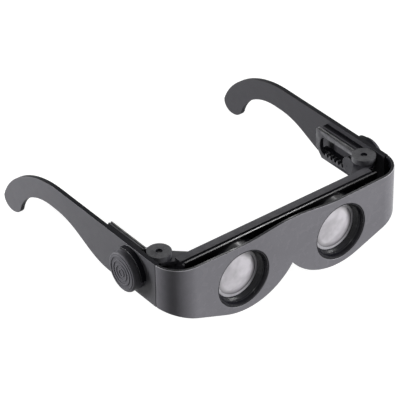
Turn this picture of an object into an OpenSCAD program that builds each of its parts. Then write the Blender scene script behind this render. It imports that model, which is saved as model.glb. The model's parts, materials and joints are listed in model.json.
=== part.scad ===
// Binocular glasses: two short optical tubes in a moulded front, worn on two arms.
// Millimetres. The origin is on the flat front face, midway between the two lenses.
// +X is to the right as seen from the front, +Y runs back to the ears, +Z is up.
// Left and right are named as seen from the front.

/* [Front shell] */
// Width over the two side walls
shell_w = 160; // [150:1:176]
// Depth from the front face back to the seam with the arms
shell_depth = 15; // [14:0.5:17]
// Wall thickness of the moulding
shell_wall = 1.8; // [1.2:0.1:2.4]
// Outside radius of the two front corners, seen from above
corner_r = 16; // [12:0.5:17]
// Height of the top rim at the ends, and of the arms' top edge
rim_z = 22; // [21.9:0.1:25]
// How far the rim's crest in the middle stands above its ends
rim_crest = 2.2; // [0:0.1:4]
// How far the rim dips above each lens
rim_dip = 0.5; // [0:0.1:1]
// Height of the straight lower edge of the side walls
side_low_z = -5.2; // [-7:0.1:-3]
// Lowest point of the two lobes under the lenses
lobe_z = -20.9; // [-26:0.1:-19.5]
// Sideways place of the lowest point
lobe_x = 31.5; // [28:0.5:35]
// Height of the nose notch's peak
notch_z = -5; // [-8:0.1:-3]

/* [Lenses] */
// Distance between the two optical axes
lens_pitch = 67; // [62:0.5:72]
// Radius of the round windows in the front face
window_r = 17; // [16:0.1:17.5]
// Radius of each objective lens
objective_r = 14; // [12.5:0.1:14.5]
// Thickness of an objective at its edge
objective_edge = 1.4; // [1:0.1:1.8]
// Bulge of an objective's front
objective_bulge = 1.1; // [0.5:0.1:1.6]
// Thickness of the clear ring in front of an objective, front to back
objective_ring_t = 0.7; // [0.5:0.1:1]
// Radius of each eyepiece lens
eyepiece_r = 12.4; // [10:0.1:13]
// Thickness of an eyepiece at its edge
eyepiece_edge = 1.8; // [1.2:0.1:2]
// Depth of an eyepiece's hollow
eyepiece_hollow = 0.9; // [0.3:0.1:1]

/* [Barrels] */
// Outside radius of each barrel
barrel_r = 19.6; // [18.6:0.1:20]
// Wall thickness of a barrel
barrel_wall = 1.4; // [1:0.1:1.8]
// Rear end of the barrels, back from the front face
barrel_rear = 8; // [7.4:0.1:9]
// Radius of the straight mouth of a barrel, where a cap or filter pushes in
mouth_r = 16.3; // [15:0.1:16.3]
// Length of that mouth
mouth_len = 1.5; // [0.8:0.1:2]
// Number of fine stray-light steps in a barrel's throat
step_count = 4; // [3:1:6]

/* [Carrier and eye frame] */
// Thickness of the plate that closes the barrels
carrier_t = 1; // [0.8:0.1:1.4]
// Distance from the ends of the carrier plate and the eye frame out to the shell's sides
plate_end_gap = 14.4; // [13.8:0.1:18]
// Height of the carrier plate's straight top edge
plate_top = 20.6; // [20:0.1:21.4]
// Height of the eye frame's top edge
eye_top = 19.2; // [18.4:0.1:19.9]
// How far their lower edge lies inside the shell's
plate_inset = 2.4; // [2.2:0.1:4]
// Depth of the eye frame, front to back
eye_frame_d = 8; // [7:0.5:9]
// Wall thickness of the eye frame
eye_frame_wall = 1.8; // [1.4:0.1:2.2]
// Height of the shadow step along the front of its top edge
groove = 1.1; // [0.6:0.1:1.4]
// Depth of that step, front to back
step_d = 3.2; // [1:0.1:4.5]
// How far the nose flange stands back from the eye frame
nose_flange_d = 7; // [4:0.5:9]
// Thickness of the soft nose pads
nose_pad_t = 1.6; // [1:0.1:2]

/* [Hinge] */
// Distance from a side of the shell in to the hinge pin
pin_inset = 9.7; // [9.6:0.1:10.3]
// Distance of a hinge pin behind the front face
pin_y = 24.2; // [23.5:0.1:25]
// Radius of a hinge pin
pin_r = 1.25; // [1:0.05:1.6]
// Radius of the fork's round head
head_r = 6.7; // [6:0.1:7]
// Radius of the eye frame's hinge barrel
knuckle_r = 4.6; // [4:0.1:5]
// Top of the fork's head
head_top_z = 21.6; // [20.5:0.1:21.8]
// Thickness of the fork's upper disc
head_t = 3.3; // [2.5:0.1:3.6]

/* [Rack slide] */
// Thickness of the slide plate
slide_t = 2.5; // [2.2:0.1:2.7]
// Top edge of the slide plate
slide_top_z = 18; // [17.9:0.1:19.6]
// Bottom edge of the slide plate
slide_low_z = 0.6; // [0.2:0.1:0.9]
// Rear end of the slide plate
slide_end_y = 65; // [64.5:0.5:70]
// Rear end of the window in the slide plate
slide_window_y = 61.5; // [58:0.5:62]
// Top of that window
slide_window_z = 15.2; // [14.5:0.1:15.4]
// Running clearance between slide and arm
slide_gap = 0.2; // [0.15:0.01:0.3]

/* [Focus gear] */
// Height of the knob's axis
knob_z = 8.2; // [7.9:0.1:8.9]
// Distance of the knob's axis behind the front face
knob_y = 35.9; // [35.4:0.1:39]
// Gear module
gear_module = 1; // [0.9:0.05:1]
// Teeth of a pinion
pinion_teeth = 8; // [7:1:8]
// Pressure angle of pinion and rack
pressure_angle = 25; // [24:1:28]
// Radius of a pinion's shaft
shaft_r = 2.3; // [1.8:0.1:2.4]
// Running clearance of shafts and pins, on the radius
run_gap = 0.05; // [0.02:0.01:0.1]
// Radius of a knob
knob_r = 11.4; // [9:0.1:11.6]
// Thickness of a knob
knob_t = 6; // [4.5:0.1:7]
// Number of raised rings on a knob's face
knob_rings = 4; // [2:1:5]

/* [Arms] */
// Thickness of an arm
arm_t = 2.7; // [2:0.1:3]
// Gap of the seam between shell and arm
seam_gap = 0.2; // [0.1:0.05:0.4]
// Rear reach of an arm
arm_reach = 156.1; // [150:0.1:166]
// Height of an arm's lower edge at its waist
waist_z = 8; // [5:0.5:11]
// Lowest height of an arm's ear hook
heel_z = -16.7; // [-19:0.1:-13]

/* [Hidden] */
$fn = 96;
eps = 0.01;

half_w = shell_w / 2;
lens_x = lens_pitch / 2;
plate_half = half_w - plate_end_gap;
pin_x = half_w - pin_inset;
fit_gap = 0.1;

// The lower outline is one arc under each lens and a tangent line out to the side wall.
lobe_r = (pow(lobe_x, 2) + pow(notch_z - lobe_z, 2)) / (2 * (notch_z - lobe_z));
lobe_cz = lobe_z + lobe_r;
side_bearing = atan2(side_low_z - lobe_cz, half_w - lobe_x);
side_distance = norm([half_w - lobe_x, side_low_z - lobe_cz]);
tangent_angle = 360 + side_bearing - acos(lobe_r / side_distance);
side_slope = -cos(tangent_angle) / sin(tangent_angle);
lobe_steps = 26;
rim_steps = 40;
rim_flat_x = half_w - corner_r;
nose_r = lobe_r - plate_inset - 0.2;

// Depths of the optical stack, back from the front face
barrel_lip_y = 0.3;
objective_y = barrel_rear - objective_edge;
objective_ring_y = objective_y - objective_ring_t;
carrier_rear = barrel_rear + carrier_t;
eye_rear = carrier_rear + eye_frame_d;
eye_wall_y = eye_rear - eye_frame_wall;
throat_r = objective_r + 0.35;
objective_seat_r = objective_r + fit_gap;
objective_window_r = objective_r - 0.8;
eyepiece_seat_r = eyepiece_r + fit_gap;
eyepiece_window_r = eyepiece_r - 1.2;
eyepiece_ring_lip = 0.8;
eyepiece_y = eye_rear - eyepiece_edge - eyepiece_ring_lip;
eyepiece_boss_y = eyepiece_y - 1.6;
eyepiece_boss_r = eyepiece_seat_r + 1.5;

// Screws that hold the eye frame and the carrier to the shell: [x, z]
screw_places = [[-plate_half + 5.6, 8], [-7, 12], [7, 12], [plate_half - 5.6, 8]];
screw_r = 1;
screw_head_r = 2;
screw_head_t = 1.2;
screw_boss_r = 2.5;
screw_tip_y = shell_wall + 1;

// Hinge fork and lug
slide_x = pin_x + 0.5;
slide_out_x = slide_x + slide_t;
lug_gap = 0.2;
head_low_z = head_top_z - head_t;
foot_top_z = slide_low_z + 2.9;
lug_top_z = head_low_z - lug_gap;
lug_low_z = foot_top_z + lug_gap;
lug_foot_x = plate_half - 6.6;
gusset_foot_x = plate_half - 10.9;
gusset_low_z = lug_top_z - 2;
fork_y = pin_y + 8.5;
web_top_z = head_top_z - 0.6;
web_low_z = slide_low_z + 2.4;
pin_recess = 1;

// Gear
pitch_r = gear_module * pinion_teeth / 2;
pinion_outer_r = pitch_r + 0.8 * gear_module;
pinion_root_r = pitch_r - 1.05 * gear_module;
tooth_pitch = gear_module * PI;
flank_play = 0.08;
rack_pitch_z = knob_z - pitch_r;
rack_tip_z = rack_pitch_z + 0.7 * gear_module;
rack_root_z = rack_pitch_z - 0.95 * gear_module;
cap_r = pinion_outer_r + 0.5;
cap_t = 1;
peg_r = 1.2;

// Arm
arm_x = half_w - arm_t;
arm_front_y = shell_depth + seam_gap;
rail_stem = 1.4;
rail_head = 2.6;
rail_head_t = 1.2;
rail_out_x = arm_x - 0.8;
rail_zs = [slide_low_z + 1.25, slide_window_z + 1.3];
guide_wall = 1.1;
guide_y = [fork_y + 0.6, slide_end_y - 2];
knob_base_x = half_w + 0.4;
knob_face_x = knob_base_x + knob_t;
drive_side = 3;
washer_t = 0.55;
washer_r = 6;

function mirrored(points) = [for (i = [len(points) - 1:-1:0]) [-points[i][0], points[i][1]]];

// Half of the lower outline, from the nose notch out to x = reach
function low_half(inset, reach) = let (
    r = lobe_r - inset,
    first = 180 + acos(lobe_x / r),
    last = tangent_angle,
    end = [lobe_x + r * cos(last), lobe_cz + r * sin(last)])
    concat([for (i = [0:lobe_steps]) let (a = first + (last - first) * i / lobe_steps)
            [lobe_x + r * cos(a), lobe_cz + r * sin(a)]],
        [[reach, end[1] + (reach - end[0]) * side_slope]]);

// Top rim: a crest in the middle, level ends and a soft dip above each lens
function rim_height(x) = let (
    ax = abs(x),
    t = ax < lens_x ? 1 - ax / lens_x : max(0, ax - lens_x) / (rim_flat_x - lens_x),
    rise = rim_dip + (ax < lens_x ? rim_crest : 0))
    rim_z - rim_dip + rise * (1 - cos(180 * t)) / 2;

function shell_outline() = let (half = low_half(0, half_w))
    concat(half, [[half_w, rim_z]],
        [for (i = [0:rim_steps]) let (x = rim_flat_x * (1 - 2 * i / rim_steps)) [x, rim_height(x)]],
        [[-half_w, rim_z]], mirrored(half));

function plate_outline(inset, half, top) = let (low = low_half(inset, half))
    concat(low, [[half, top], [-half, top]], mirrored(low));

function curve(a, b, c, d, steps = 14) = [for (i = [1:steps]) let (t = i / steps, u = 1 - t)
    u * u * u * a + 3 * u * u * t * b + 3 * u * t * t * c + t * t * t * d];

// Side view of an arm: straight and deep at the front, then waisted, with a hook for the ear
function arm_outline() = let (
    e = arm_reach,
    h = heel_z,
    top = [e - 54.1, rim_z],
    back = [e, h + 7],
    heel = [e - 8.2, h],
    tip = [e - 15.8, h + 4.5],
    waist = [e - 50.1, waist_z],
    under = [e - 100.1, side_low_z])
    concat([[arm_front_y, side_low_z], [arm_front_y, rim_z], top],
        curve(top, [e - 30.1, rim_z], [e - 6.6, h + 25], back, 20),
        curve(back, [e + 0.4, h + 2.6], [e - 3.4, h - 0.4], heel, 10),
        curve(heel, [e - 11.4, h + 0.3], [e - 14.4, h + 1.6], tip, 6),
        curve(tip, [e - 19.1, h + 16.2], [e - 32.1, waist_z + 1], waist, 16),
        curve(waist, [e - 72.1, waist_z + 0.6], [e - 80.1, side_low_z], under, 16));

// Half of the angle that a pinion tooth covers at radius r
function involute(angle) = tan(angle) * 180 / PI - angle;
function tooth_half(r) = let (
    base_r = pitch_r * cos(pressure_angle),
    at_pitch = (tooth_pitch / 4 - flank_play) / pitch_r * 180 / PI)
    at_pitch + involute(pressure_angle) - (r > base_r ? involute(acos(base_r / r)) : 0);

function polar(r, angle) = [r * cos(angle), r * sin(angle)];
function tooth_flank(middle, side) = let (steps = 6)
    [for (i = [0:steps]) let (
        k = side < 0 ? i : steps - i,
        r = pinion_root_r + (pinion_outer_r - pinion_root_r) * k / steps)
        polar(r, middle + side * tooth_half(r))];

module slab(y0, y1) {
    translate([0, y1, 0])
        rotate([90, 0, 0])
            linear_extrude(y1 - y0)
                children();
}

module across(x0, x1) {
    translate([x0, 0, 0])
        rotate([90, 0, 90])
            linear_extrude(x1 - x0)
                children();
}

module turned_on_lens(side) {
    translate([side * lens_x, 0, 0])
        rotate([-90, 0, 0])
            rotate_extrude()
                children();
}

module turned_on_knob(x0) {
    translate([x0, knob_y, knob_z])
        rotate([0, 90, 0])
            rotate_extrude()
                children();
}

module at_side(side) {
    mirror([side < 0 ? 1 : 0, 0, 0])
        children();
}

module at_lenses() {
    for (side = [-1, 1])
        translate([side * lens_x, 0])
            children();
}

module at_screws() {
    for (place = screw_places)
        translate(place)
            children();
}

// Seen from above and drawn deeper than the shell, whose slab cuts it off
module shell_plan(inset) {
    r = corner_r - inset;
    translate([inset - half_w, corner_r])
        square([shell_w - 2 * inset, corner_r]);
    translate([corner_r - half_w, inset])
        square([shell_w - 2 * corner_r, 2 * corner_r - inset]);
    for (side = [-1, 1])
        translate([side * (half_w - corner_r), corner_r])
            circle(r);
}

module front_shell() {
    color("#77767c")
        difference() {
            union() {
                intersection() {
                    slab(0, shell_depth)
                        polygon(shell_outline());
                    translate([0, 0, lobe_z - 1])
                        linear_extrude(rim_z + rim_crest - lobe_z + 2)
                            difference() {
                                shell_plan(0);
                                shell_plan(shell_wall);
                            }
                }
                slab(shell_wall - eps, barrel_rear)
                    at_screws()
                        circle(screw_boss_r);
            }
            slab(-1, shell_wall + 1)
                at_lenses()
                    circle(window_r);
            slab(screw_tip_y, barrel_rear + 1)
                at_screws()
                    circle(screw_r + 0.02);
        }
}

module objective_barrel(side) {
    lip_r = window_r - fit_gap;
    throat_y = barrel_lip_y + mouth_len;
    tread = (objective_ring_y - throat_y) / step_count;
    drop = (mouth_r - throat_r) / step_count;
    steps = [for (i = [0:step_count - 1]) each [
        [mouth_r - (i + 0.3) * drop, throat_y + i * tread],
        [mouth_r - (i + 0.8) * drop, throat_y + (i + 1) * tread]]];
    color("#1d1d20")
        turned_on_lens(side)
            polygon(concat(
                [[mouth_r, barrel_lip_y], [mouth_r, throat_y]],
                steps,
                [[objective_seat_r, objective_ring_y],
                    [objective_seat_r, barrel_rear],
                    [objective_seat_r + barrel_wall, barrel_rear],
                    [objective_seat_r + barrel_wall, shell_wall + barrel_wall],
                    [barrel_r - barrel_wall, shell_wall + barrel_wall],
                    [barrel_r - barrel_wall, barrel_rear],
                    [barrel_r, barrel_rear],
                    [barrel_r, shell_wall],
                    [lip_r, shell_wall],
                    [lip_r, barrel_lip_y]]));
}

module objective_lens(side) {
    ball_r = (pow(objective_r, 2) + pow(objective_bulge, 2)) / (2 * objective_bulge);
    color("#d9d6e0", 0.5)
        translate([side * lens_x, objective_y - objective_bulge, 0])
            rotate([-90, 0, 0])
                intersection() {
                    translate([0, 0, ball_r])
                        sphere(ball_r, $fn = 180);
                    cylinder(h = objective_edge + objective_bulge, r = objective_r);
                }
}

module objective_ring(side) {
    color("#a9a8ad")
        turned_on_lens(side)
            translate([objective_window_r, objective_ring_y])
                square([objective_r - objective_window_r, objective_ring_t - 0.3]);
}

module lens_carrier() {
    color("#232326")
        slab(barrel_rear, carrier_rear)
            difference() {
                polygon(plate_outline(plate_inset, plate_half, plate_top));
                at_lenses()
                    circle(objective_window_r);
                at_screws()
                    circle(screw_r + fit_gap);
            }
}

// Tray that closes the back, with its boss for each eyepiece and column for each screw
module eye_tray() {
    half = plate_half;
    difference() {
        slab(carrier_rear, eye_rear)
            polygon(plate_outline(plate_inset, half, eye_top));
        slab(carrier_rear - 1, eye_wall_y)
            difference() {
                polygon(plate_outline(plate_inset + eye_frame_wall, half - eye_frame_wall,
                    eye_top - eye_frame_wall - groove));
                at_screws()
                    circle(screw_boss_r);
            }
        translate([-half - 1, carrier_rear - 1, eye_top - groove])
            cube([2 * half + 2, step_d + 1, groove + 1]);
    }
    slab(eyepiece_boss_y, eye_wall_y + eps)
        at_lenses()
            circle(eyepiece_boss_r);
}

module nose_flange(side, r0, r1, y0, y1, first, last) {
    slab(y0, y1)
        translate([side * lobe_x, lobe_cz])
            mirror([side < 0 ? 1 : 0, 0])
                intersection() {
                    difference() {
                        circle(r1);
                        circle(r0);
                    }
                    polygon([[0, 0], 2 * polar(r1, first), 2 * polar(r1, last)]);
                }
}

module hinge_lug() {
    frame_end = plate_half;
    translate([0, 0, lug_low_z])
        linear_extrude(lug_top_z - lug_low_z) {
            translate([pin_x, pin_y])
                circle(knuckle_r);
            polygon([[lug_foot_x, eye_rear - 0.5], [pin_x - 5.9, pin_y - 1.6],
                [pin_x - 3, pin_y - 1.3], [pin_x - 1, pin_y - 4], [frame_end - 1, eye_rear - 0.5]]);
        }
    translate([0, 0, gusset_low_z])
        linear_extrude(lug_top_z - gusset_low_z)
            polygon([[gusset_foot_x, eye_rear - 0.3], [pin_x - 7.7, pin_y + 0.1],
                [pin_x - 4.9, pin_y + 0.2], [pin_x - 3, pin_y + 3], [pin_x, pin_y],
                [pin_x + 3, pin_y - 3], [pin_x + 3, eye_rear + 1.5],
                [frame_end - 0.3, eye_rear - 2], [gusset_foot_x + 1.3, eye_rear - 2]]);
}

module eye_frame() {
    color("#4a4a4e")
        difference() {
            union() {
                eye_tray();
                for (side = [-1, 1]) {
                    nose_flange(side, nose_r - 1.4, nose_r, eye_wall_y + 0.4,
                        eye_rear + nose_flange_d, 222, 244);
                    at_side(side)
                        hinge_lug();
                }
            }
            slab(eyepiece_boss_y - 1, eyepiece_y + eps)
                at_lenses()
                    circle(eyepiece_window_r);
            slab(eyepiece_y, eye_rear + 1)
                at_lenses()
                    circle(eyepiece_seat_r);
            slab(carrier_rear - 1, eye_rear)
                at_screws()
                    circle(screw_r + fit_gap);
            slab(eye_rear - screw_head_t, eye_rear + 1)
                at_screws()
                    circle(screw_head_r + fit_gap);
            for (side = [-1, 1])
                translate([side * pin_x, pin_y, 0])
                    cylinder(h = head_top_z, r = pin_r + run_gap);
        }
}

module eyepiece_lens(side) {
    ball_r = (pow(eyepiece_window_r, 2) + pow(eyepiece_hollow, 2)) / (2 * eyepiece_hollow);
    color("#d9d6e0", 0.5)
        translate([side * lens_x, eyepiece_y, 0])
            rotate([-90, 0, 0])
                difference() {
                    cylinder(h = eyepiece_edge, r = eyepiece_r);
                    translate([0, 0, eyepiece_edge + ball_r - eyepiece_hollow])
                        sphere(ball_r, $fn = 180);
                }
}

module eyepiece_ring(side) {
    seat_y = eyepiece_y + eyepiece_edge;
    color("#2a2a2d")
        turned_on_lens(side)
            polygon([[eyepiece_window_r, seat_y], [eyepiece_r, seat_y], [eyepiece_r, eye_rear],
                [eyepiece_boss_r, eye_rear], [eyepiece_boss_r - 0.5, eye_rear + 1.1],
                [eyepiece_window_r + 1.2, eye_rear + 1.1]]);
}

module nose_pad(side) {
    color("#303034")
        nose_flange(side, nose_r, nose_r + nose_pad_t, eye_rear + 0.3,
            eye_rear + nose_flange_d + 0.4, 223, 243);
}

module frame_screws() {
    color("#8d8d92")
        difference() {
            union() {
                slab(screw_tip_y + 0.2, eye_rear - screw_head_t + eps)
                    at_screws()
                        circle(screw_r);
                slab(eye_rear - screw_head_t, eye_rear)
                    at_screws()
                        circle(screw_head_r);
            }
            slab(eye_rear - 0.7, eye_rear + 1)
                at_screws() {
                    square([2.4, 0.5], center = true);
                    square([0.5, 2.4], center = true);
                }
        }
}

module slide_window() {
    r = 5;
    low = rack_root_z;
    end = slide_window_y;
    top = slide_window_z;
    translate([fork_y - 2, low])
        square([end - r - fork_y + 2, top - low]);
    translate([fork_y - 2, low + r])
        square([end - fork_y + 2, top - low - 2 * r]);
    for (z = [low + r, top - r])
        translate([end - r, z])
            circle(r);
}

module rack_tooth() {
    half = tooth_pitch / 4 - flank_play;
    rise = rack_tip_z - rack_pitch_z;
    sink = rack_pitch_z - rack_root_z;
    lean = tan(pressure_angle);
    polygon([[-half - sink * lean, -sink - 0.2], [half + sink * lean, -sink - 0.2],
        [half - rise * lean, rise], [rise * lean - half, rise]]);
}

// Join the fork's two discs to the slide plate; the upper one slopes down to its top edge
module fork_webs() {
    intersection() {
        translate([0, 0, head_low_z])
            linear_extrude(head_t)
                polygon([[pin_x - 3, pin_y + 5], [pin_x + 4.2, pin_y + 4],
                    [slide_out_x, fork_y + 3], [slide_x, fork_y + 3]]);
        across(slide_x - 5, slide_out_x + 5)
            polygon([[pin_y + 3, head_low_z - 1], [pin_y + 3, web_top_z],
                [pin_y + 6.2, web_top_z], [fork_y + 2, slide_top_z], [fork_y + 2, head_low_z - 1]]);
    }
    across(slide_x, slide_out_x)
        polygon([[pin_y + 6, slide_window_z + 0.4], [pin_y + 6, web_top_z - 0.5],
            [pin_y + 6.3, web_top_z - 0.2], [fork_y + 1, slide_top_z],
            [fork_y + 1, slide_window_z + 0.4]]);
    translate([0, 0, slide_low_z])
        linear_extrude(web_low_z - slide_low_z)
            polygon([[pin_x - 3, pin_y + 5], [pin_x + 4.2, pin_y + 4],
                [slide_out_x, fork_y + 3], [slide_x, fork_y + 3]]);
}

module rack_slide(side) {
    first_tooth = knob_y - tooth_pitch / 2;
    tooth_count = floor((slide_window_y - 4 - first_tooth) / tooth_pitch) + 1;
    ridge_groove = 0.6;
    color("#3f3f44")
        at_side(side)
            difference() {
                union() {
                    across(slide_x, slide_out_x) {
                        difference() {
                            translate([fork_y, slide_low_z])
                                square([slide_end_y - fork_y, slide_top_z - slide_low_z]);
                            slide_window();
                            polygon([[slide_end_y - 5, slide_low_z - 1], [slide_end_y - 5, slide_low_z],
                                [slide_end_y, slide_low_z + 6], [slide_end_y + 1, slide_low_z - 1]]);
                        }
                        for (i = [0:tooth_count - 1])
                            translate([first_tooth + i * tooth_pitch, rack_pitch_z])
                                rack_tooth();
                    }
                    for (z = rail_zs) {
                        across(slide_out_x - eps, rail_out_x)
                            translate([fork_y, z - rail_stem / 2])
                                square([slide_end_y - 6 - fork_y, rail_stem]);
                        across(rail_out_x - rail_head_t, rail_out_x)
                            translate([fork_y, z - rail_head / 2])
                                square([slide_end_y - 6 - fork_y, rail_head]);
                    }
                    translate([pin_x, pin_y, head_low_z])
                        cylinder(h = head_t, r = head_r);
                    translate([pin_x, pin_y, slide_low_z])
                        cylinder(h = foot_top_z - slide_low_z, r = head_r);
                    fork_webs();
                }
                translate([pin_x, pin_y, slide_low_z + 1])
                    cylinder(h = head_top_z, r = pin_r + 0.02);
                translate([pin_x, pin_y, head_top_z - pin_recess])
                    cylinder(h = pin_recess + 1, r = pin_r + 0.6);
                translate([slide_x + (slide_t - ridge_groove) / 2, fork_y + 2, slide_top_z - 0.8])
                    cube([ridge_groove, slide_end_y - fork_y, 2]);
            }
}

module hinge_pin(side) {
    color("#b4b4b8")
        translate([side * pin_x, pin_y, 0])
            rotate_extrude()
                polygon([[0, slide_low_z + 1], [pin_r - 0.3, slide_low_z + 1],
                    [pin_r, slide_low_z + 1.4], [pin_r, head_top_z - pin_recess - 0.4],
                    [pin_r - 0.3, head_top_z - pin_recess], [0, head_top_z - pin_recess]]);
}

// Moulded guard that hugs the upper front of the knob
module knob_guard() {
    r = knob_r + 0.5;
    translate([knob_y, knob_z])
        intersection() {
            difference() {
                circle(r + 1.3);
                circle(r);
            }
            polygon([[0, 0], 2 * polar(r, 183), 2 * polar(r, 135), 2 * polar(r, 90),
                2 * polar(r, 66)]);
        }
}

module temple(side) {
    inner_x = rail_out_x - rail_head_t - slide_gap - guide_wall;
    color("#5c5c61")
        at_side(side)
            difference() {
                union() {
                    across(arm_x, half_w)
                        polygon(arm_outline());
                    across(half_w - eps, half_w + 3.2)
                        knob_guard();
                    for (z = rail_zs, up = [0, 1])
                        translate([0, 0, z])
                            mirror([0, 0, up]) {
                                outer = rail_head / 2 + slide_gap + guide_wall;
                                across(inner_x, arm_x + eps)
                                    translate([guide_y[0], rail_head / 2 + slide_gap])
                                        square([guide_y[1] - guide_y[0], guide_wall]);
                                across(inner_x, inner_x + guide_wall)
                                    translate([guide_y[0], rail_stem / 2 + slide_gap])
                                        square([guide_y[1] - guide_y[0],
                                            outer - rail_stem / 2 - slide_gap]);
                            }
                }
                across(inner_x - 1, half_w + 1)
                    translate([knob_y, knob_z])
                        circle(shaft_r + run_gap);
            }
}

module pinion(side) {
    gear_out_x = slide_out_x - 0.2;
    color("#2c2c30")
        at_side(side)
            difference() {
                union() {
                    across(slide_x + 0.1, gear_out_x)
                        translate([knob_y, knob_z])
                            polygon([for (i = [0:pinion_teeth - 1]) let (
                                middle = -90 + i * 360 / pinion_teeth)
                                each concat(tooth_flank(middle, -1), tooth_flank(middle, 1))]);
                    across(gear_out_x - eps, knob_base_x)
                        translate([knob_y, knob_z])
                            circle(shaft_r);
                    across(knob_base_x - eps, knob_face_x - 2)
                        translate([knob_y, knob_z])
                            square(drive_side, center = true);
                }
                across(slide_x, slide_x + 4)
                    translate([knob_y, knob_z])
                        circle(peg_r + 0.02);
            }
}

module pinion_cap(side) {
    peg_len = 3;
    inner_x = slide_x - 0.15;
    color("#56565c")
        at_side(side)
            turned_on_knob(inner_x - cap_t)
                polygon([[0, 0], [cap_r - 0.3, 0], [cap_r, 0.3], [cap_r, cap_t],
                    [peg_r, cap_t], [peg_r, cap_t + peg_len], [0, cap_t + peg_len]]);
}

module focus_knob(side) {
    edge = 1.1;
    ring_h = 0.35;
    ring_w = 0.8;
    ring_pitch = (knob_r - edge - 0.6) / knob_rings;
    body = concat([[0, 0], [knob_r, 0], [knob_r, knob_t - edge]],
        [for (a = [15:15:90]) [knob_r - edge + edge * cos(a), knob_t - edge + edge * sin(a)]],
        [[0, knob_t]]);
    color("#3a3a3e")
        at_side(side)
            difference() {
                union() {
                    turned_on_knob(knob_base_x)
                        polygon(body);
                    for (i = [1:knob_rings])
                        turned_on_knob(knob_face_x - eps)
                            translate([i * ring_pitch - ring_w, 0])
                                square([ring_w, ring_h]);
                }
                across(knob_base_x - 1, knob_base_x + washer_t - 0.35)
                    translate([knob_y, knob_z])
                        circle(washer_r + fit_gap);
                across(knob_base_x - 1, knob_face_x - 1.9)
                    translate([knob_y, knob_z])
                        square(drive_side + 0.04, center = true);
            }
}

module knob_washer(side) {
    color("#1b1b1d")
        at_side(side)
            across(knob_base_x - 0.35, knob_base_x - 0.35 + washer_t)
                translate([knob_y, knob_z])
                    difference() {
                        circle(washer_r);
                        circle(shaft_r + fit_gap);
                    }
}

front_shell();
lens_carrier();
objective_barrel(-1);  // objective_barrel_left
objective_barrel(1);  // objective_barrel_right
objective_lens(-1);  // objective_lens_left
objective_lens(1);  // objective_lens_right
objective_ring(-1);  // objective_ring_left
objective_ring(1);  // objective_ring_right
eye_frame();
eyepiece_lens(-1);  // eyepiece_lens_left
eyepiece_lens(1);  // eyepiece_lens_right
eyepiece_ring(-1);  // eyepiece_ring_left
eyepiece_ring(1);  // eyepiece_ring_right
nose_pad(-1);  // nose_pad_left
nose_pad(1);  // nose_pad_right
frame_screws();
rack_slide(-1);  // rack_slide_left
rack_slide(1);  // rack_slide_right
hinge_pin(-1);  // hinge_pin_left
hinge_pin(1);  // hinge_pin_right
temple(-1);  // temple_left
temple(1);  // temple_right
pinion(-1);  // pinion_left
pinion(1);  // pinion_right
pinion_cap(-1);  // pinion_cap_left
pinion_cap(1);  // pinion_cap_right
focus_knob(-1);  // focus_knob_left
focus_knob(1);  // focus_knob_right
knob_washer(-1);  // knob_washer_left
knob_washer(1);  // knob_washer_right
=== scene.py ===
"""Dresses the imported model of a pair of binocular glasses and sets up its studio."""

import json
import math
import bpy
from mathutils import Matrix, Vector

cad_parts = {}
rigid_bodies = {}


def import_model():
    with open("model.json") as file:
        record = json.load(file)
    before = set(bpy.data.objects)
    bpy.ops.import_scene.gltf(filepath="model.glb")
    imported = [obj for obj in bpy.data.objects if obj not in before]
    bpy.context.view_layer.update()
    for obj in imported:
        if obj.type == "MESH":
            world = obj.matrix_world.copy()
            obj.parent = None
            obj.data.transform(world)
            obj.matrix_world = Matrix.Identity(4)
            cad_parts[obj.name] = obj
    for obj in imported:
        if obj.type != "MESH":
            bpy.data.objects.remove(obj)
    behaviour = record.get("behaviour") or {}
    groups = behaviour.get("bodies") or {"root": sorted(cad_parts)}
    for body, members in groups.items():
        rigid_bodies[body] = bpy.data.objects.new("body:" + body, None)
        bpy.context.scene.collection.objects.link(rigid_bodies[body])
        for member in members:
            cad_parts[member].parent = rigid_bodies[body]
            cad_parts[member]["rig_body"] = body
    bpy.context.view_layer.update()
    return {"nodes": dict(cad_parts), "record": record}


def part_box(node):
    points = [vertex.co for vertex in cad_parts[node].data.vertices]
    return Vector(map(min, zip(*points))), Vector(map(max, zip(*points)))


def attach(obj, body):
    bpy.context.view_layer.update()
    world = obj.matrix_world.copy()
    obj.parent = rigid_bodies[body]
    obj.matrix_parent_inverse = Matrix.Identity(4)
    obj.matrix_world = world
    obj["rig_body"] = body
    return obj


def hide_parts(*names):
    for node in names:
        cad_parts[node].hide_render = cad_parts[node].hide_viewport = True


bl_info = {
    "name": "Binocular glasses",
    "version": (1, 0, 0),
    "blender": (4, 5, 0),
    "location": "3D View > Sidebar > Glasses",
    "description": "Finishes, lathed glass and turned parts for a pair of binocular glasses",
    "category": "Object",
}

import bmesh
import bpy
from bpy.props import FloatProperty, FloatVectorProperty, IntProperty, PointerProperty
from mathutils import Matrix, Vector

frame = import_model()
CAD_NODES = frame["nodes"]
SIDES = ("left", "right")
MM = 0.001

# Places where a finish changes, measured from the middle plane
ARM_FACE = 80.1 * MM
SHELL_END = 62.0 * MM
BEND_START = 60.0 * MM
BEND_MIDDLE = 72.0 * MM
BEND_END = 74.0 * MM
STEP_WIDTH = 0.05 * MM

# Noise scales, in features per metre
DRIFT_SCALE = 38.0
CLOUD_SCALE = 210.0
GRAIN_SCALE = 2600.0
RUBBER_GRAIN_SCALE = 1800.0
LENS_DRIFT_SCALE = 80.0
DUST_SCALE = 1500.0

# Share of its shine that a surface keeps away from its skin
FADED_SHINE = 0.3

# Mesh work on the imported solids
WELD_GAP = 0.002 * MM
FLAT_ANGLE = math.radians(0.6)
SHARP_ANGLE = math.radians(32.0)

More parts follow.
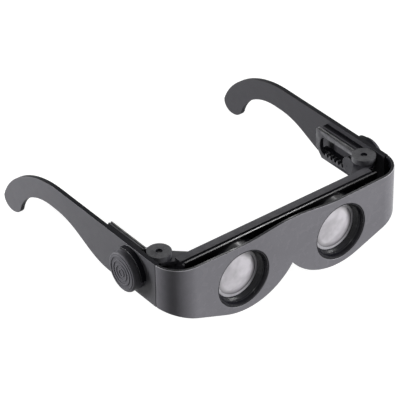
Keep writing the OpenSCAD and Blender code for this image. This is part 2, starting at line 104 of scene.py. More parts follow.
# Turned parts: the barrels and their rings
SEAT_PLAY = 0.1 * MM
SEAT_DEPTH = 2.1 * MM
MOUTH_DEPTH = 1.5 * MM
LIP_WIDTH = 0.6 * MM
FLANGE_DEPTH = 1.8 * MM
FUNNEL_BULGE = 0.25 * MM
RIBS_BEGIN = 0.62
RIB_FLANK = 0.3
FIRST_CREST = 0.95 * MM
LAST_CREST = 0.28 * MM
RIBS_END = 0.1 * MM
SEAT_SLOPE = (0.2 * MM, 0.05 * MM)
BARREL_CORNER = 0.15 * MM
RING_WIDTH = 1.5 * MM
RING_FOOT = 0.8 * MM
RING_CORNER = 0.12 * MM

# Turned parts: the lenses
OBJECTIVE_EDGE = 1.4 * MM
EYEPIECE_HOLLOW = 0.9 * MM
EYEPIECE_RIM = 1.2 * MM
LENS_CORNER = 0.1 * MM
DOME_STEPS = 18
BOWL_STEPS = 16

# The camera that was fitted to the photograph
PHOTO_PIXELS = 400.0
FOCAL_PIXELS = 2325.72
SENSOR_WIDTH = 36.0
CAMERA_PLACE = (-641.72, -758.88, 733.79)
CAMERA_RIGHT = (0.7881, -0.6154, -0.0146)
CAMERA_BACK = (-0.4970, -0.6501, 0.5747)

# The studio: a hook rests on the floor this far before its rear end
HOOK_REST = 8.2 * MM
FLOOR_TONE = 0.34
FLOOR_GLOW = 0.95
LAMP_AIM = (0.0, 0.05, 0.0)
LAMPS = (
    ("key_lamp", (1.28, -1.38, 0.27), 0.80, "key"),
    ("side_lamp", (-0.39, 0.44, 0.075), 0.22, "side"),
    ("glint_lamp", (0.46, 0.60, 0.52), 0.09, "glint"),
    ("rim_lamp", (-0.43, -0.30, 0.71), 0.07, "rim"),
)


def length(name, description, default):
    """A length in metres that the sidebar shows in the scene's unit."""
    return FloatProperty(name=name, description=description, default=default, min=0.0,
                         subtype="DISTANCE", unit="LENGTH", precision=5)


def colour(name, description, default):
    """A linear base colour."""
    return FloatVectorProperty(name=name, description=description, default=default, min=0.0,
                               max=1.0, size=3, subtype="COLOR")


def share(name, description, default):
    """A plain number between nothing and all."""
    return FloatProperty(name=name, description=description, default=default, min=0.0, max=1.0,
                         subtype="FACTOR")


class GlassesSizes(bpy.types.PropertyGroup):
    """Rounding of the moulded edges and the fine relief that the solids leave out."""
    shell_edge: length("Shell edge", "Rounding of the front shell's edges", 0.65 * MM)
    arm_edge: length("Arm edge", "Rounding of the arms' edges", 0.55 * MM)
    frame_edge: length("Frame edge", "Rounding of the eye frame's edges", 0.3 * MM)
    slide_edge: length("Slide edge", "Rounding of the rack slides' edges", 0.4 * MM)
    carrier_edge: length("Carrier edge", "Rounding of the carrier plate's edges", 0.25 * MM)
    pad_edge: length("Pad edge", "Rounding of the nose pads' edges", 0.5 * MM)
    fine_edge: length("Fine edge", "Rounding of small parts such as screws and teeth", 0.12 * MM)
    barrel_mouth: length("Barrel mouth", "Radius of a barrel's straight mouth", 16.3 * MM)
    barrel_wall: length("Barrel wall", "Wall thickness of a barrel", 1.4 * MM)
    rib_height: length("Rib height", "Height of the stray-light ribs in a barrel", 0.30 * MM)
    rib_count: IntProperty(name="Ribs", description="Number of stray-light ribs in a barrel",
                           default=4, min=3, max=10)
    floor_size: length("Floor", "Side of the square studio floor", 6.0)


class GlassesColours(bpy.types.PropertyGroup):
    """Base colours of the finishes."""
    shell: colour("Shell", "Satin plastic of the front shell", (0.200, 0.196, 0.216))
    arm: colour("Arm", "Satin plastic of the two arms", (0.100, 0.099, 0.109))
    # Painted shade: a darker copy of the arm plastic for the arms' inner sides.
    arm_inside_painted_shade: colour("Arm inside", "Plain plastic of the arms' inner sides",
                       (0.058, 0.057, 0.064))
    # The core black also lies on downward-facing roundings as painted shade.
    core: colour("Core", "Black plastic at the edges and inside the shell", (0.013, 0.013, 0.017))
    # Near-black on the rib round each knob, darker than the arm beside it.
    guard: colour("Guard", "Black rib that guards a knob", (0.022, 0.022, 0.025))
    frame: colour("Eye frame", "Matte plastic of the eye frame", (0.074, 0.073, 0.084))
    slide: colour("Slide", "Plastic of the rack slides", (0.024, 0.024, 0.031))
    cap: colour("Pinion cap", "Grey discs on the pinions", (0.040, 0.040, 0.048))
    knob: colour("Knob", "Matte plastic of the knobs", (0.100, 0.098, 0.111))
    inner: colour("Inside", "Black plastic of the carrier and hidden parts", (0.007, 0.007, 0.008))
    barrel: colour("Barrel", "Satin black of the barrels", (0.008, 0.008, 0.012))
    # Painted light: the pale lens colour stands in for the light seen through and reflected in the
    # glass.
    lens: colour("Lens", "Pale bloom of the lenses", (0.78, 0.75, 0.80))
    ring: colour("Lens ring", "Grey ring in front of each objective", (0.38, 0.37, 0.40))
    rubber: colour("Rubber", "Nose pads and knob washers", (0.028, 0.028, 0.030))
    steel: colour("Steel", "Screws", (0.42, 0.42, 0.43))
    pin: colour("Pin", "Blackened steel of the hinge pins", (0.035, 0.035, 0.037))


class GlassesStudio(bpy.types.PropertyGroup):
    """Levels of the lamps."""
    key: FloatProperty(name="Front lamp", description="Power of the soft lamp at the front right",
                       default=39.0, min=0.0, unit="POWER")
    side: FloatProperty(name="Side lamp", description="Power of the soft lamp behind on the left",
                        default=3.3, min=0.0, unit="POWER")
    glint: FloatProperty(name="Glint lamp", description="Power of the small lamp above the back",
                         default=0.55, min=0.0, unit="POWER")
    rim: FloatProperty(name="Rim lamp", description="Power of the small lamp above the front",
                       default=0.45, min=0.0, unit="POWER")
    sky: share("Surrounding light", "Level of the even light from all round", 0.042)


def link(tree, source, target):
    """Joins an output to an input."""
    tree.links.new(source, target)


def spread(tree, coordinates, scale, detail, roughness=0.55):
    """Noise on object coordinates, with its scale in features per metre."""
    noise = tree.nodes.new("ShaderNodeTexNoise")
    noise.inputs["Scale"].default_value = scale
    noise.inputs["Detail"].default_value = detail
    noise.inputs["Roughness"].default_value = roughness
    link(tree, coordinates, noise.inputs["Vector"])
    return noise.outputs["Fac"]


def ranged(tree, value, low, high, start=0.3, end=0.7):
    """A value mapped from start..end to low..high."""
    node = tree.nodes.new("ShaderNodeMapRange")
    node.inputs["From Min"].default_value = start
    node.inputs["From Max"].default_value = end
    node.inputs["To Min"].default_value = low
    node.inputs["To Max"].default_value = high
    link(tree, value, node.inputs["Value"])
    return node.outputs["Result"]


def blended(tree, factor, first, second):
    """Two colours mixed by a factor; either may be a socket or a plain colour."""
    node = tree.nodes.new("ShaderNodeMix")
    node.data_type = "RGBA"
    sockets = [s for s in node.inputs if s.type == "RGBA"]
    for socket, value in zip(sockets, (first, second)):
        if isinstance(value, bpy.types.NodeSocket):
            link(tree, value, socket)
        else:
            socket.default_value = (*value, 1.0)
    link(tree, factor, node.inputs["Factor"])
    return [s for s in node.outputs if s.type == "RGBA"][0]


def parts_of(tree, vector):
    """The three parts of a vector socket."""
    axes = tree.nodes.new("ShaderNodeSeparateXYZ")
    link(tree, vector, axes.inputs["Vector"])
    return axes.outputs


def worked(tree, operation, value, other=None):
    """One step of arithmetic on sockets."""
    node = tree.nodes.new("ShaderNodeMath")
    node.operation = operation
    link(tree, value, node.inputs[0])
    if other is not None:
        link(tree, other, node.inputs[1])
    return node.outputs["Value"]


def from_middle(tree, coordinates):
    """How far a point lies from the middle plane."""
    return worked(tree, "ABSOLUTE", parts_of(tree, coordinates["Object"])["X"])


def beyond(tree, coordinates, distance):
    """One where a point lies further than this from the middle plane, else nothing."""
    return ranged(tree, from_middle(tree, coordinates), 0.0, 1.0, distance,
                  distance + STEP_WIDTH)


def not_guard(tree, coordinates):
    """Nothing on the rib that stands out of an arm round its knob, one elsewhere."""
    return ranged(tree, beyond(tree, coordinates, ARM_FACE), 1.0, 0.0, 0.0, 1.0)


def outward(tree, coordinates):
    """How far a surface faces away from the middle plane, from minus one to one."""
    side = worked(tree, "SIGN", parts_of(tree, coordinates["Object"])["X"])
    return worked(tree, "MULTIPLY", side, parts_of(tree, coordinates["Normal"])["X"])


def shell_skin(tree, coordinates):
    """One on the shell's front and on the outside of its two ends, nothing on rim and inside."""
    ends = worked(tree, "MULTIPLY", outward(tree, coordinates),
                  beyond(tree, coordinates, SHELL_END))
    facing = ranged(tree, parts_of(tree, coordinates["Normal"])["Y"], 1.0, -1.0, -1.0, 1.0)
    return ranged(tree, worked(tree, "MAXIMUM", ends, facing), 0.0, 1.0, 0.35, 0.7)


def not_underside_shade(tree, coordinates):
    """Nothing on rounded edges that face down, which take painted shade; one elsewhere."""
    return ranged(tree, parts_of(tree, coordinates["Normal"])["Z"], 0.0, 1.0, -0.45, -0.15)


def shell_middle(tree, coordinates):
    """One on the shell's broad front, nothing on its two bends."""
    return ranged(tree, from_middle(tree, coordinates), 1.0, 0.0, BEND_START, BEND_END)


def not_painted_rim_highlight(tree, coordinates):
    """Nothing on the outer rounding along the top of the shell's two bends, where a painted
    highlight goes; one elsewhere.
    """
    normal = parts_of(tree, coordinates["Normal"])
    up = normal["Z"]
    band = worked(tree, "MULTIPLY", ranged(tree, up, 0.0, 1.0, 0.25, 0.5),
                  ranged(tree, up, 1.0, 0.0, 0.8, 0.97))
    outside = worked(tree, "SUBTRACT", outward(tree, coordinates), normal["Y"])
    bends = worked(tree, "MULTIPLY",
                   ranged(tree, from_middle(tree, coordinates), 0.15, 1.0, BEND_START, BEND_MIDDLE),
                   ranged(tree, outside, 0.0, 1.0, 0.1, 0.5))
    return ranged(tree, worked(tree, "MULTIPLY", band, bends), 1.0, 0.0, 0.0, 1.0)


def arm_skin(tree, coordinates):
    """One on the broad sides of an arm, nothing on its narrow edges."""
    return ranged(tree, worked(tree, "ABSOLUTE", outward(tree, coordinates)), 0.0, 1.0, 0.4, 0.8)


def not_painted_arm_highlight(tree, coordinates):
    """Nothing on the outer rounding along the top of an arm, where a painted highlight goes; one
    elsewhere.
    """
    side = outward(tree, coordinates)
    band = worked(tree, "MULTIPLY", ranged(tree, side, 0.0, 1.0, 0.45, 0.65),
                  ranged(tree, side, 1.0, 0.0, 0.9, 0.99))
    up = ranged(tree, parts_of(tree, coordinates["Normal"])["Z"], 0.0, 1.0, 0.1, 0.3)
    return ranged(tree, worked(tree, "MULTIPLY", band, up), 1.0, 0.0, 0.0, 1.0)


def arm_outside(tree, coordinates):
    """One on the outer side of an arm, nothing on the side that faces the wearer, which takes
    painted shade.
    """
    return ranged(tree, outward(tree, coordinates), 0.0, 1.0, -0.3, 0.3)


def shaded(base, factor):
    """A colour made darker or lighter."""
    return tuple(min(1.0, c * factor) for c in base)


def finish(name, base, roughness, grain=GRAIN_SCALE, depth=0.06, wear_and_highlight=0.35, spread_of_tone=0.07,
           metallic=0.0, specular=0.5, coat=0.0, worn_and_highlight_tone=None, zones=(), skin=None):
    """A moulded or machined finish: drifting tone, fine grain, uneven gloss and lighter roundings,
    which are rubbed wear on some finishes and a painted highlight on others. Each zone is a
    function that gives a mask and the colour where that mask is nothing, some zones being painted
    highlight or painted shade;
    away from the skin, where one is given, the surface shines less."""
    material = bpy.data.materials.new(name)
    material.use_nodes = True
    tree = material.node_tree
    shader = tree.nodes["Principled BSDF"]
    coordinates = tree.nodes.new("ShaderNodeTexCoord").outputs
    place = coordinates["Object"]
    drift = spread(tree, place, DRIFT_SCALE, 4.0)
    cloud = spread(tree, place, CLOUD_SCALE, 3.0)
    fine = spread(tree, place, grain, 2.0, 0.6)
    tone = blended(tree, ranged(tree, drift, 0.0, 1.0), shaded(base, 1.0 - spread_of_tone),
                   shaded(base, 1.0 + spread_of_tone))
    speck = blended(tree, ranged(tree, fine, 0.0, 0.22, 0.45, 0.75), tone, shaded(base, 0.8))
    # Lighter roundings: rubbed wear, and a painted highlight on the shell, slides and pinion caps
    edge = tree.nodes.new("ShaderNodeNewGeometry").outputs["Pointiness"]
    rub_and_highlight = worked(tree, "MULTIPLY", ranged(tree, edge, 0.0, wear_and_highlight, 0.52, 0.62),
                 ranged(tree, cloud, 0.3, 1.0))
    lighter = worn_and_highlight_tone if worn_and_highlight_tone else shaded(base, 1.9)
    for mask, other in zones:
        speck = blended(tree, mask(tree, coordinates), other, speck)
    link(tree, blended(tree, rub_and_highlight, speck, lighter), shader.inputs["Base Color"])
    link(tree, ranged(tree, cloud, max(0.03, roughness - 0.07), min(1.0, roughness + 0.07)),
         shader.inputs["Roughness"])
    bump = tree.nodes.new("ShaderNodeBump")
    bump.inputs["Strength"].default_value = 0.6
    bump.inputs["Distance"].default_value = depth * MM
    link(tree, fine, bump.inputs["Height"])
    link(tree, bump.outputs["Normal"], shader.inputs["Normal"])
    shader.inputs["Metallic"].default_value = metallic
    shader.inputs["Specular IOR Level"].default_value = specular
    if skin:
        link(tree, ranged(tree, skin(tree, coordinates), FADED_SHINE * specular, specular, 0.0,
                          1.0),
             shader.inputs["Specular IOR Level"])
    shader.inputs["Coat Weight"].default_value = coat
    shader.inputs["Coat Roughness"].default_value = 0.12
    return material


def lens_middle(tree, coordinates):
    """One in the middle of a lens, nothing at its rim."""
    low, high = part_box("objective_lens_right")
    across = ranged(tree, from_middle(tree, coordinates), -1.0, 1.0, low.x, high.x)
    upward = ranged(tree, parts_of(tree, coordinates["Object"])["Z"], -1.0, 1.0, low.z, high.z)
    reach = worked(tree, "ADD", worked(tree, "MULTIPLY", across, across),
                   worked(tree, "MULTIPLY", upward, upward))
    return ranged(tree, reach, 1.0, 0.0, 0.48, 0.76)


def lens_finish(name, base, clear):
    """Clear moulded lens whose colour holds painted light: pale patches of painted reflection and
    painted shade towards the rim, and a few specks of dust.
    """
    material = bpy.data.materials.new(name)
    material.use_nodes = True
    tree = material.node_tree
    shader = tree.nodes["Principled BSDF"]
    coordinates = tree.nodes.new("ShaderNodeTexCoord").outputs
    place = coordinates["Object"]
    drift = spread(tree, place, LENS_DRIFT_SCALE, 3.0)
    dust = spread(tree, place, DUST_SCALE, 1.0)
    # Patches of painted reflection, then painted shade towards the rim.
    tone = blended(tree, ranged(tree, drift, 0.0, 1.0, 0.40, 0.60), shaded(base, 0.80),
                   shaded(base, 1.13))
    painted_glow = blended(tree, lens_middle(tree, coordinates), shaded(base, 0.42), tone)
    link(tree, painted_glow, shader.inputs["Base Color"])
    link(tree, ranged(tree, dust, 0.03, 0.10, 0.55, 0.8), shader.inputs["Roughness"])
    bump = tree.nodes.new("ShaderNodeBump")
    bump.inputs["Strength"].default_value = 0.05
    bump.inputs["Distance"].default_value = 0.02 * MM
    link(tree, drift, bump.inputs["Height"])
    link(tree, bump.outputs["Normal"], shader.inputs["Normal"])
    shader.inputs["Transmission Weight"].default_value = clear
    shader.inputs["IOR"].default_value = 1.49
    shader.inputs["Coat Weight"].default_value = 0.6
    shader.inputs["Coat Roughness"].default_value = 0.03
    return material


FINISHES = {}


def material_for(slot):
    """The finish of a material slot, made on first use. Names with a space are finishes of
    single pieces, which share a slot of the record with others."""
    if slot not in FINISHES:
        tones = bpy.context.scene.glasses_colours
        recipe = {
            # Shell: the lighter roundings are partly rubbed wear and partly a painted highlight;
            # the pale band on the top rounding of the two bends is a painted highlight;
            # downward-facing roundings take the core black as painted shade.
            "shell_plastic": lambda n: finish(n, tones.shell, 0.25, wear_and_highlight=0.75, depth=0.025,
                                              specular=0.16, worn_and_highlight_tone=(0.50, 0.49, 0.53),
                                              zones=((shell_skin, tones.core),
                                                     (not_underside_shade, tones.core),
                                                     (not_painted_rim_highlight, (0.85, 0.84, 0.88))),
                                              skin=shell_middle),
            # Arms: the inner side takes a darker copy of the arm plastic as painted shade,
            # downward-facing roundings take the core black as painted shade, and the pale line on
            # the outer top rounding is a painted highlight.
            "arm_plastic": lambda n: finish(
                n, tones.arm, 0.42, wear_and_highlight=0.06, specular=0.11, worn_and_highlight_tone=tones.arm,
                zones=((arm_outside, tones.arm_inside_painted_shade), (not_guard, tones.guard),
                       (arm_skin, tones.core), (not_underside_shade, tones.core),
                       (not_painted_arm_highlight, (0.30, 0.30, 0.32))),
                skin=arm_skin),
            "frame_plastic": lambda n: finish(n, tones.frame, 0.42, specular=0.15),
            # Slides and pinion caps: the pale roundings are a painted highlight.
            "slide_plastic": lambda n: finish(n, tones.slide, 0.32, wear_and_highlight=1.0, specular=0.09,
                                              worn_and_highlight_tone=(0.55, 0.55, 0.57)),
            "cap plastic": lambda n: finish(n, tones.cap, 0.32, wear_and_highlight=1.0, specular=0.14,
                                            worn_and_highlight_tone=(0.55, 0.55, 0.57)),
            "knob_plastic": lambda n: finish(n, tones.knob, 0.46, depth=0.08, specular=0.12),
            "inner_plastic": lambda n: finish(n, tones.inner, 0.24, depth=0.02, specular=0.05),
            "barrel plastic": lambda n: finish(n, tones.barrel, 0.22, wear_and_highlight=0.3, depth=0.006,
                                               specular=0.24, worn_and_highlight_tone=(0.10, 0.10, 0.11)),
            "carrier plastic": lambda n: finish(n, tones.inner, 0.20, depth=0.01, specular=0.36),
            "lens": lambda n: lens_finish(n, tones.lens, 0.30),
            "lens_ring": lambda n: finish(n, tones.ring, 0.30, coat=0.3),
            "soft_rubber": lambda n: finish(n, tones.rubber, 0.70, grain=RUBBER_GRAIN_SCALE,
                                            depth=0.1),
            "blackened steel": lambda n: finish(n, tones.pin, 0.45, metallic=1.0, depth=0.03),
            "steel": lambda n: finish(n, tones.steel, 0.30, metallic=1.0, depth=0.03),
        }[slot]
        FINISHES[slot] = recipe(slot.replace("_", " "))
    return FINISHES[slot]


def slot_of(node):
    """The material slot that the record gives a node."""
    for part in frame["record"]["subparts"]:
        if part["node"] == node:
            return part["material_slot"]
    raise RuntimeError("no material slot for " + node)


def smoothing():
    """Geometry nodes that shade every face smooth, so that only the rounding shows."""
    name = "smooth faces"
    if name in bpy.data.node_groups:
        return bpy.data.node_groups[name]
    group = bpy.data.node_groups.new(name, "GeometryNodeTree")
    group.interface.new_socket("Geometry", in_out="INPUT", socket_type="NodeSocketGeometry")
    group.interface.new_socket("Geometry", in_out="OUTPUT", socket_type="NodeSocketGeometry")
    start = group.nodes.new("NodeGroupInput")
    shade = group.nodes.new("GeometryNodeSetShadeSmooth")
    end = group.nodes.new("NodeGroupOutput")
    group.links.new(start.outputs[0], shade.inputs["Geometry"])
    group.links.new(shade.outputs[0], end.inputs[0])
    return group


def dress(node, edge, segments=3, slot=None):
    """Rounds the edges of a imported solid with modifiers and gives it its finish."""
    obj = CAD_NODES[node]
    weld = obj.modifiers.new("join the corners", "WELD")
    weld.merge_threshold = WELD_GAP
    flat = obj.modifiers.new("merge flat faces", "DECIMATE")
    flat.decimate_type = "DISSOLVE"
    flat.angle_limit = FLAT_ANGLE
    obj.modifiers.new("shade smooth", "NODES").node_group = smoothing()
    if edge > 0.0:
        bevel = obj.modifiers.new("round the edges", "BEVEL")
        bevel.width = edge
        bevel.segments = segments
        bevel.limit_method = "ANGLE"
        bevel.angle_limit = SHARP_ANGLE
        bevel.use_clamp_overlap = True
        bevel.harden_normals = False
    even = obj.modifiers.new("even the shading", "WEIGHTED_NORMAL")
    even.weight = 80
    even.keep_sharp = True
    obj.data.materials.clear()
    obj.data.materials.append(material_for(slot or slot_of(node)))


def dress_pair(stem, edge, segments=3, slot=None):
    """Dresses the left and the right copy of a part."""
    for side in SIDES:
        dress(stem + "_" + side, edge, segments, slot)


def place_of(node):
    """A node's lowest and highest corners, and the point where its turning axis starts."""
    low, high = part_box(node)
    return low, high, Vector(((low.x + high.x) / 2, 0.0, (low.z + high.z) / 2))


def turned(name, profile, middle, node, closed=True, steps=96, look=None):
    """Turns a profile of (radius, distance to the back) and puts it in a node's place."""
    along = Vector((0.0, 1.0, 0.0))
    first = Vector((0.0, 0.0, 1.0))
    second = along.cross(first)
    mesh = bmesh.new()
    rings = []
    for radius, distance in profile:
        centre = middle + along * distance
        if radius < 1e-7:
            rings.append([mesh.verts.new(centre)])
            continue
        ring = []
        for i in range(steps):
            turn = 2.0 * math.pi * i / steps
            ring.append(mesh.verts.new(centre + radius * (math.cos(turn) * first
                                                          + math.sin(turn) * second)))
        rings.append(ring)
    pairs = list(zip(rings, rings[1:]))
    if closed:
        pairs.append((rings[-1], rings[0]))
    for low, high in pairs:
        if len(low) == 1 and len(high) == 1:
            continue
        for i in range(steps):
            j = (i + 1) % steps
            corners = [low[i % len(low)], low[j % len(low)], high[j % len(high)],
                       high[i % len(high)]]
            mesh.faces.new(list(dict.fromkeys(corners)))
    bmesh.ops.recalc_face_normals(mesh, faces=mesh.faces)
    if mesh.calc_volume(signed=True) < 0.0:
        bmesh.ops.reverse_faces(mesh, faces=mesh.faces)
    data = bpy.data.meshes.new(name)
    mesh.to_mesh(data)
    mesh.free()
    data.shade_smooth()
    data.set_sharp_from_angle(angle=SHARP_ANGLE)
    piece = bpy.data.objects.new(name, data)
    bpy.context.scene.collection.objects.link(piece)
    slot = slot_of(node)
    data.materials.append(material_for(look or slot))
    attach(piece, CAD_NODES[node]["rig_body"])
    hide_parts(node)


class GLASSES_OT_front_shell(bpy.types.Operator):
    """Rounds the front shell and gives it its satin finish"""
    bl_idname = "glasses.front_shell"
    bl_label = "Front shell"

    def execute(self, context):
        dress("front_shell", context.scene.glasses_sizes.shell_edge, 4)
        return {"FINISHED"}


class GLASSES_OT_barrels(bpy.types.Operator):
    """Turns the two barrels and their grey rings, and dresses the carrier plate"""
    bl_idname = "glasses.barrels"
    bl_label = "Barrels and carrier"

    def execute(self, context):
        sizes = context.scene.glasses_sizes
        for side in SIDES:
            self.barrel(side, sizes)
            self.ring(side)
        dress("lens_carrier", sizes.carrier_edge, 3, slot="carrier plastic")
        return {"FINISHED"}

    def barrel(self, side, sizes):
        """A smooth mouth, fine ribs against stray light, and the seat of the objective."""
        node = "objective_barrel_" + side
        low, high, middle = place_of(node)
        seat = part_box("objective_lens_" + side)
        seat_r = (seat[1].x - seat[0].x) / 2 + SEAT_PLAY
        outer = (high.x - low.x) / 2
        wall = sizes.barrel_wall
        mouth = sizes.barrel_mouth
        lip = mouth + LIP_WIDTH
        mouth_end = low.y + MOUTH_DEPTH
        back = high.y
        ring_y = back - SEAT_DEPTH
        rib_start = low.y + RIBS_BEGIN * (ring_y - low.y)
        waist = seat_r + FIRST_CREST
        last_crest = seat_r + LAST_CREST
        soft = BARREL_CORNER
        ribs = []
        step = (ring_y - RIBS_END - rib_start) / sizes.rib_count
        for i in range(sizes.rib_count):
            crest = waist + (last_crest - waist) * (i / (sizes.rib_count - 1))
            flank = crest + sizes.rib_height * RIB_FLANK
            y = rib_start + i * step
            ribs += [(crest + sizes.rib_height, y), (flank, y + step * 0.25),
                     (crest, y + step * 0.5), (flank, y + step * 0.75)]
        bore = [(mouth, low.y + soft), (mouth, mouth_end),
                ((mouth + waist) / 2 + FUNNEL_BULGE, (mouth_end + rib_start) / 2)] + ribs
        seat_end = [(seat_r + SEAT_SLOPE[0], ring_y - SEAT_SLOPE[1]), (seat_r, ring_y),
                    (seat_r, back), (seat_r + wall, back), (seat_r + wall, FLANGE_DEPTH + wall)]
        outside = [(outer - wall, FLANGE_DEPTH + wall), (outer - wall, back), (outer, back),
                   (outer, FLANGE_DEPTH), (lip, FLANGE_DEPTH), (lip, low.y + soft),
                   (lip - soft, low.y), (mouth + soft, low.y)]
        turned("ribbed_barrel_" + side, bore + seat_end + outside, middle, node, steps=128,
               look="barrel plastic")

    def ring(self, side):
        """A grey ring with soft corners that frames the objective."""
        node = "objective_ring_" + side
        low, high, middle = place_of(node)
        outer = (high.x - low.x) / 2
        inner = outer - RING_WIDTH
        soft = RING_CORNER
        profile = [(inner, low.y + 1.6 * soft), (inner + soft, low.y + 0.4 * soft),
                   (inner + 2.5 * soft, low.y), (outer - soft, low.y), (outer, low.y + soft),
                   (outer, high.y), (outer - RING_FOOT, high.y)]
        turned("lens_ring_" + side, profile, middle, node)


class GLASSES_OT_lenses(bpy.types.Operator):
    """Turns the objectives and eyepieces as smooth lenses in the places of their solids"""
    bl_idname = "glasses.lenses"
    bl_label = "Lenses"

    def execute(self, context):
        for side in SIDES:
            self.objective(side)
            self.eyepiece(side)
        return {"FINISHED"}

    def objective(self, side):
        """Flat at the back and domed to the front."""
        node = "objective_lens_" + side
        low, high, middle = place_of(node)
        radius = (high.x - low.x) / 2
        bulge = high.y - low.y - OBJECTIVE_EDGE
        ball = (radius ** 2 + bulge ** 2) / (2 * bulge)
        dome = [(r, low.y + ball - math.sqrt(ball ** 2 - r ** 2))
                for r in (radius * i / DOME_STEPS for i in range(DOME_STEPS + 1))]
        profile = dome[:-1] + [(radius, high.y - OBJECTIVE_EDGE + LENS_CORNER),
                               (radius, high.y - LENS_CORNER),
                               (radius - LENS_CORNER, high.y), (0.0, high.y)]
        turned("objective_glass_" + side, profile, middle, node, closed=False)

    def eyepiece(self, side):
        """Flat at the front and hollow at the back."""
        node = "eyepiece_lens_" + side
        low, high, middle = place_of(node)
        radius = (high.x - low.x) / 2
        rim = radius - EYEPIECE_RIM
        ball = (rim ** 2 + EYEPIECE_HOLLOW ** 2) / (2 * EYEPIECE_HOLLOW)
        bowl = [(r, high.y + ball - EYEPIECE_HOLLOW - math.sqrt(ball ** 2 - r ** 2))
                for r in (rim * (1 - i / BOWL_STEPS) for i in range(BOWL_STEPS + 1))]
        profile = [(0.0, low.y), (radius - LENS_CORNER, low.y), (radius, low.y + LENS_CORNER),
                   (radius, high.y - LENS_CORNER), (radius - LENS_CORNER, high.y),
                   (rim + LENS_CORNER, high.y)]
        turned("eyepiece_glass_" + side, profile + bowl, middle, node, closed=False)


class GLASSES_OT_eye_frame(bpy.types.Operator):
    """Dresses the eye frame, eyepiece rings, nose pads and screws"""
    bl_idname = "glasses.eye_frame"
    bl_label = "Eye frame"

    def execute(self, context):
        sizes = context.scene.glasses_sizes
        dress("eye_frame", sizes.frame_edge, 3)
        dress_pair("eyepiece_ring", sizes.fine_edge, 2)
        dress_pair("nose_pad", sizes.pad_edge, 4)
        dress("frame_screws", sizes.fine_edge, 2)
        return {"FINISHED"}


class GLASSES_OT_slides(bpy.types.Operator):
    """Dresses the rack slides and their hinge pins"""
    bl_idname = "glasses.slides"
    bl_label = "Rack slides and pins"

    def execute(self, context):
        sizes = context.scene.glasses_sizes
        dress_pair("rack_slide", sizes.slide_edge, 2)
        dress_pair("hinge_pin", sizes.fine_edge, 2, slot="blackened steel")
        return {"FINISHED"}


class GLASSES_OT_arms(bpy.types.Operator):
    """Rounds the two arms and gives them their satin finish"""
    bl_idname = "glasses.arms"
    bl_label = "Arms"

    def execute(self, context):
        dress_pair("temple", context.scene.glasses_sizes.arm_edge, 3)
        return {"FINISHED"}


class GLASSES_OT_knobs(bpy.types.Operator):
    """Dresses the knobs, pinions, caps and washers"""
    bl_idname = "glasses.knobs"
    bl_label = "Knobs and pinions"

    def execute(self, context):
        sizes = context.scene.glasses_sizes
        dress_pair("focus_knob", sizes.fine_edge, 2)
        dress_pair("knob_washer", 0.0)
        dress_pair("pinion", sizes.fine_edge, 2)
        dress_pair("pinion_cap", sizes.fine_edge, 2, slot="cap plastic")
        return {"FINISHED"}


def seen_rays(tree):
    """One where a camera, glossy or transmission ray meets the surface."""
    rays = tree.nodes.new("ShaderNodeLightPath").outputs
    straight = worked(tree, "MAXIMUM", rays["Is Camera Ray"], rays["Is Glossy Ray"])
    return worked(tree, "MAXIMUM", straight, rays["Is Transmission Ray"])


def floor_finish():
    """A pale matte floor that looks white, apart from the soft shadow on it."""
    material = bpy.data.materials.new("studio floor")
    material.use_nodes = True
    tree = material.node_tree
    tree.nodes.clear()
    out = tree.nodes.new("ShaderNodeOutputMaterial")
    plain = tree.nodes.new("ShaderNodeBsdfDiffuse")
    plain.inputs["Color"].default_value = (FLOOR_TONE, FLOOR_TONE, FLOOR_TONE, 1.0)
    glow = tree.nodes.new("ShaderNodeEmission")
    glow.inputs["Strength"].default_value = FLOOR_GLOW
    both = tree.nodes.new("ShaderNodeAddShader")
    link(tree, plain.outputs["BSDF"], both.inputs[0])
    link(tree, glow.outputs["Emission"], both.inputs[1])
    choice = tree.nodes.new("ShaderNodeMixShader")
    link(tree, seen_rays(tree), choice.inputs["Fac"])
    link(tree, plain.outputs["BSDF"], choice.inputs[1])
    link(tree, both.outputs["Shader"], choice.inputs[2])
    link(tree, choice.outputs["Shader"], out.inputs["Surface"])
    return material


def lamp(name, place, size, power):
    """A soft round lamp that shines at the glasses."""
    light = bpy.data.lights.new(name, "AREA")
    light.shape = "DISK"
    light.size = size
    light.energy = power
    obj = bpy.data.objects.new(name, light)
    obj.location = place
    obj.rotation_euler = (Vector(LAMP_AIM) - Vector(place)).to_track_quat("-Z", "Y").to_euler()
    bpy.context.scene.collection.objects.link(obj)


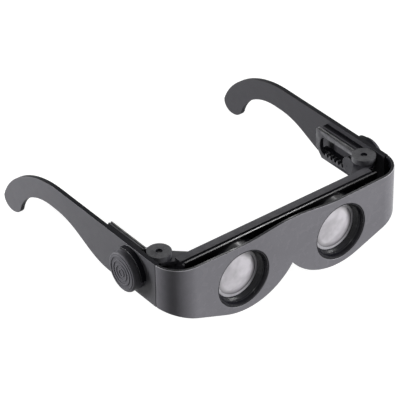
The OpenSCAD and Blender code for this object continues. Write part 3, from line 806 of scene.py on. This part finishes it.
class GLASSES_OT_studio(bpy.types.Operator):
    """Makes the pale floor, the even surrounding light and the soft lamps"""
    bl_idname = "glasses.studio"
    bl_label = "Studio"

    def execute(self, context):
        studio = context.scene.glasses_studio
        self.floor(context.scene)
        self.surroundings(context.scene, studio.sky)
        for name, place, size, power in LAMPS:
            lamp(name, place, size, getattr(studio, power))
        return {"FINISHED"}

    def floor(self, scene):
        """A flat floor under the shell's two lobes and the two hooks, so slightly tilted."""
        half = scene.glasses_sizes.floor_size / 2
        low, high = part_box("front_shell")
        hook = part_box("temple_left")
        tilt = (hook[0].z - low.z) / (hook[1].y - HOOK_REST - high.y)
        rise = half * tilt
        height = low.z - high.y * tilt
        mesh = bpy.data.meshes.new("studio_floor")
        mesh.from_pydata([(-half, -half, height - rise), (half, -half, height - rise),
                          (half, half, height + rise), (-half, half, height + rise)],
                         [], [(0, 1, 2, 3)])
        mesh.materials.append(floor_finish())
        ground = bpy.data.objects.new("studio_floor", mesh)
        scene.collection.objects.link(ground)

    def surroundings(self, scene, strength):
        """Faint even light from all round, and plain white where the world is seen."""
        world = bpy.data.worlds.new("studio light")
        world.use_nodes = True
        scene.world = world
        tree = world.node_tree
        tree.nodes.clear()
        out = tree.nodes.new("ShaderNodeOutputWorld")
        faint = tree.nodes.new("ShaderNodeBackground")
        faint.inputs["Strength"].default_value = strength
        white = tree.nodes.new("ShaderNodeBackground")
        white.inputs["Strength"].default_value = 1.0
        for node in (faint, white):
            node.inputs["Color"].default_value = (1.0, 1.0, 1.0, 1.0)
        choice = tree.nodes.new("ShaderNodeMixShader")
        link(tree, seen_rays(tree), choice.inputs["Fac"])
        link(tree, faint.outputs["Background"], choice.inputs[1])
        link(tree, white.outputs["Background"], choice.inputs[2])
        link(tree, choice.outputs["Shader"], out.inputs["Surface"])


class GLASSES_OT_camera(bpy.types.Operator):
    """Sets the camera at the photograph's angle and the plain view transform"""
    bl_idname = "glasses.camera"
    bl_label = "Camera"

    def execute(self, context):
        right = Vector(CAMERA_RIGHT).normalized()
        back = Vector(CAMERA_BACK)
        back = (back - back.dot(right) * right).normalized()
        up = back.cross(right)
        camera = bpy.data.cameras.new("camera")
        camera.sensor_width = SENSOR_WIDTH
        camera.lens = FOCAL_PIXELS / PHOTO_PIXELS * SENSOR_WIDTH
        camera.clip_start = 0.01
        obj = bpy.data.objects.new("camera", camera)
        place = Vector(CAMERA_PLACE) * MM
        obj.matrix_world = Matrix(((right.x, up.x, back.x, place.x),
                                   (right.y, up.y, back.y, place.y),
                                   (right.z, up.z, back.z, place.z),
                                   (0.0, 0.0, 0.0, 1.0)))
        context.scene.collection.objects.link(obj)
        context.scene.camera = obj
        context.scene.view_settings.view_transform = "Standard"
        return {"FINISHED"}


class GLASSES_PT_panel(bpy.types.Panel):
    """Lists the steps that dress the glasses"""
    bl_idname = "GLASSES_PT_panel"
    bl_label = "Binocular glasses"
    bl_space_type = "VIEW_3D"
    bl_region_type = "UI"
    bl_category = "Glasses"

    def draw(self, context):
        scene = context.scene
        for group in (scene.glasses_sizes, scene.glasses_colours, scene.glasses_studio):
            box = self.layout.box()
            for name in group.bl_rna.properties.keys():
                if name not in ("rna_type", "name"):
                    box.prop(group, name)
        for step in STEPS:
            self.layout.operator(step.bl_idname)


STEPS = (GLASSES_OT_camera, GLASSES_OT_front_shell, GLASSES_OT_barrels, GLASSES_OT_lenses,
         GLASSES_OT_eye_frame, GLASSES_OT_slides, GLASSES_OT_arms, GLASSES_OT_knobs,
         GLASSES_OT_studio)
GROUPS = (GlassesSizes, GlassesColours, GlassesStudio)


def register():
    for cls in GROUPS + STEPS + (GLASSES_PT_panel,):
        bpy.utils.register_class(cls)
    bpy.types.Scene.glasses_sizes = PointerProperty(type=GlassesSizes)
    bpy.types.Scene.glasses_colours = PointerProperty(type=GlassesColours)
    bpy.types.Scene.glasses_studio = PointerProperty(type=GlassesStudio)


def unregister():
    del bpy.types.Scene.glasses_studio
    del bpy.types.Scene.glasses_colours
    del bpy.types.Scene.glasses_sizes
    for cls in reversed(GROUPS + STEPS + (GLASSES_PT_panel,)):
        bpy.utils.unregister_class(cls)


def main():
    register()
    for step in STEPS:
        group, name = step.bl_idname.split(".")
        getattr(getattr(bpy.ops, group), name)()


if __name__ == "__main__":
    main()
